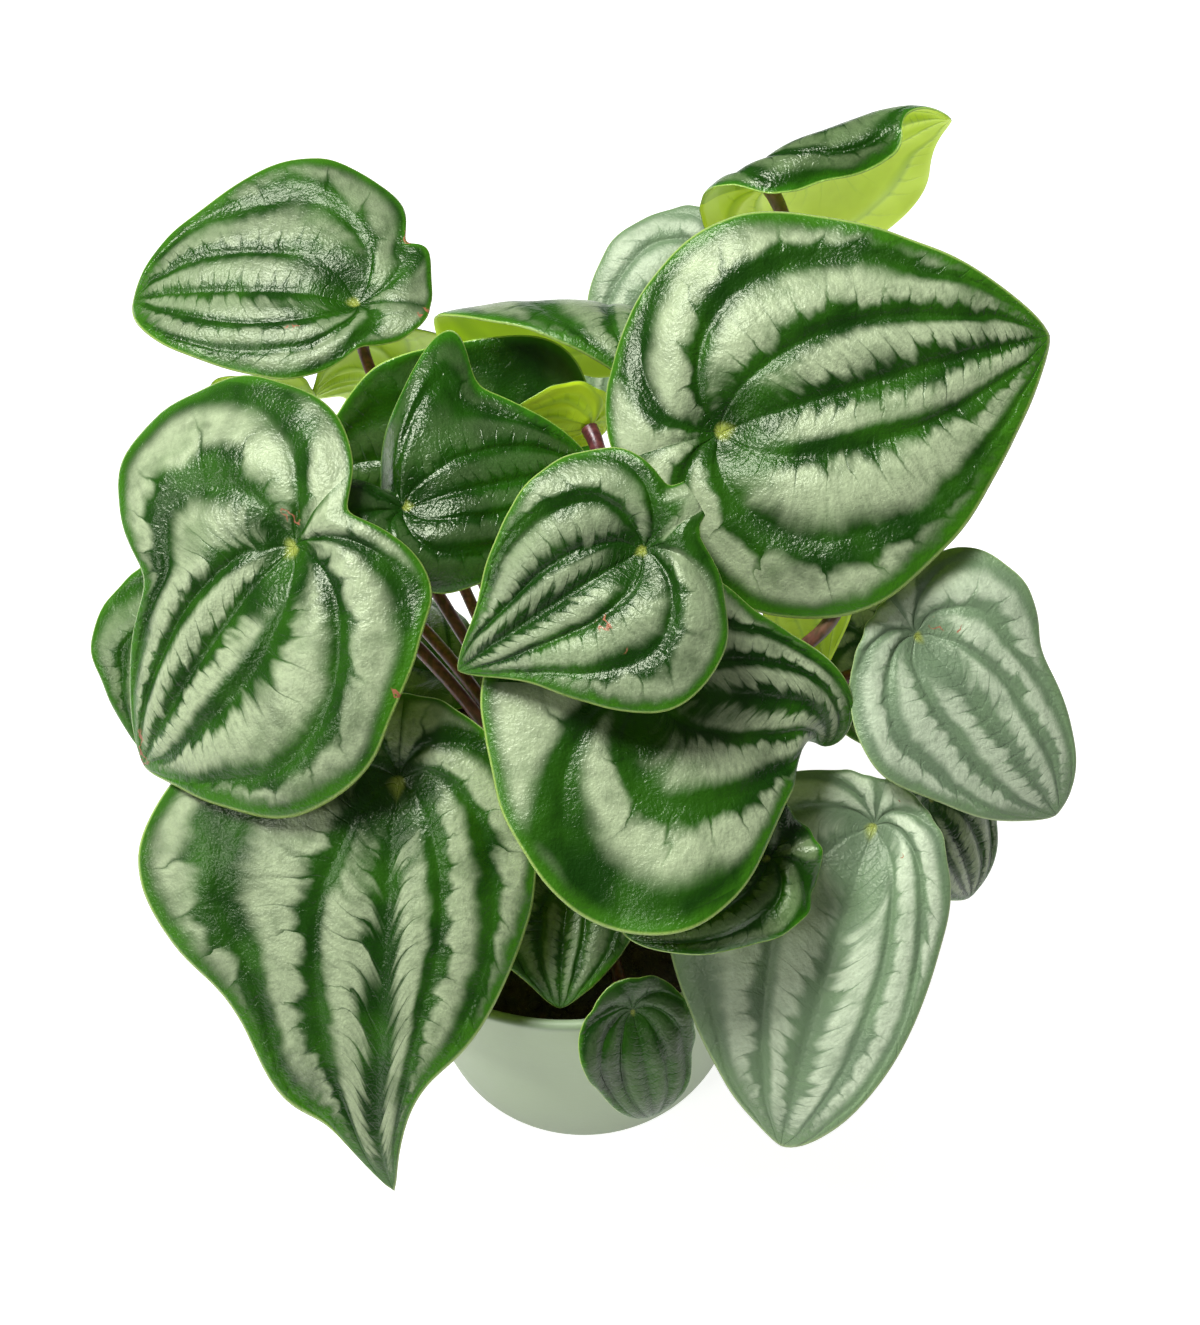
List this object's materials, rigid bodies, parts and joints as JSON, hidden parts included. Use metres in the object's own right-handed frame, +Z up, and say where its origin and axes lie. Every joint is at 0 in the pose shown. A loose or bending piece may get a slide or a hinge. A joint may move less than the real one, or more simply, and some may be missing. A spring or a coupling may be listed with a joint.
{
  "type": "potted foliage plant",
  "caption": "Small foliage plant with striped, rounded, pointed leaves on thin stalks, growing from soil in a plain tapered round pot.",
  "frame": {"origin": "centre of the pot's underside, on the surface the pot stands on", "axes": "+Z up along the pot's axis, -Y towards the plant's fullest side, +X to that side's right"},
  "size_m": [0.2116, 0.2226, 0.2154],
  "materials": {
    "pot_glaze": "matte pale sage green glaze",
    "soil": "rough, dark, crumbly potting soil",
    "crown": "dull dark brown stem base",
    "leaf": "waxy leaf with silver bands between dark green veins, pale yellow-green underneath",
    "stalk": "smooth dark maroon stalk"
  },
  "bodies": {
    "root": {"pot": "pot_glaze", "soil": "soil", "crown": "crown", "blade_back_left": "leaf", "blade_left": "leaf", "blade_front_left": "leaf", "blade_right": "leaf", "blade_far_right": "leaf", "blade_front_right": "leaf", "blade_top": "leaf", "blade_middle_left": "leaf", "blade_front": "leaf", "blade_front_young": "leaf", "blade_low_front": "leaf", "blade_rim_front": "leaf", "blade_low_left": "leaf", "blade_cupped": "leaf", "blade_arched": "leaf", "blade_upright_young": "leaf", "blade_back_pale": "leaf", "blade_back_high": "leaf", "blade_back_left_small": "leaf", "blade_back_left_low": "leaf", "blade_hanging": "leaf", "blade_low_right": "leaf", "blade_inner_right": "leaf", "blade_rim_right": "leaf", "blade_inner_left": "leaf", "blade_rear": "leaf", "blade_rear_right": "leaf", "blade_rear_left": "leaf", "stalk_back_left": "stalk", "stalk_left": "stalk", "stalk_front_left": "stalk", "stalk_right": "stalk", "stalk_far_right": "stalk", "stalk_front_right": "stalk", "stalk_top": "stalk", "stalk_middle_left": "stalk", "stalk_front": "stalk", "stalk_front_young": "stalk", "stalk_low_front": "stalk", "stalk_rim_front": "stalk", "stalk_low_left": "stalk", "stalk_cupped": "stalk", "stalk_arched": "stalk", "stalk_upright_young": "stalk", "stalk_back_pale": "stalk", "stalk_back_high": "stalk", "stalk_back_left_small": "stalk", "stalk_back_left_low": "stalk", "stalk_hanging": "stalk", "stalk_low_right": "stalk", "stalk_inner_right": "stalk", "stalk_rim_right": "stalk", "stalk_inner_left": "stalk", "stalk_rear": "stalk", "stalk_rear_right": "stalk", "stalk_rear_left": "stalk"}
  },
  "joints": []
}
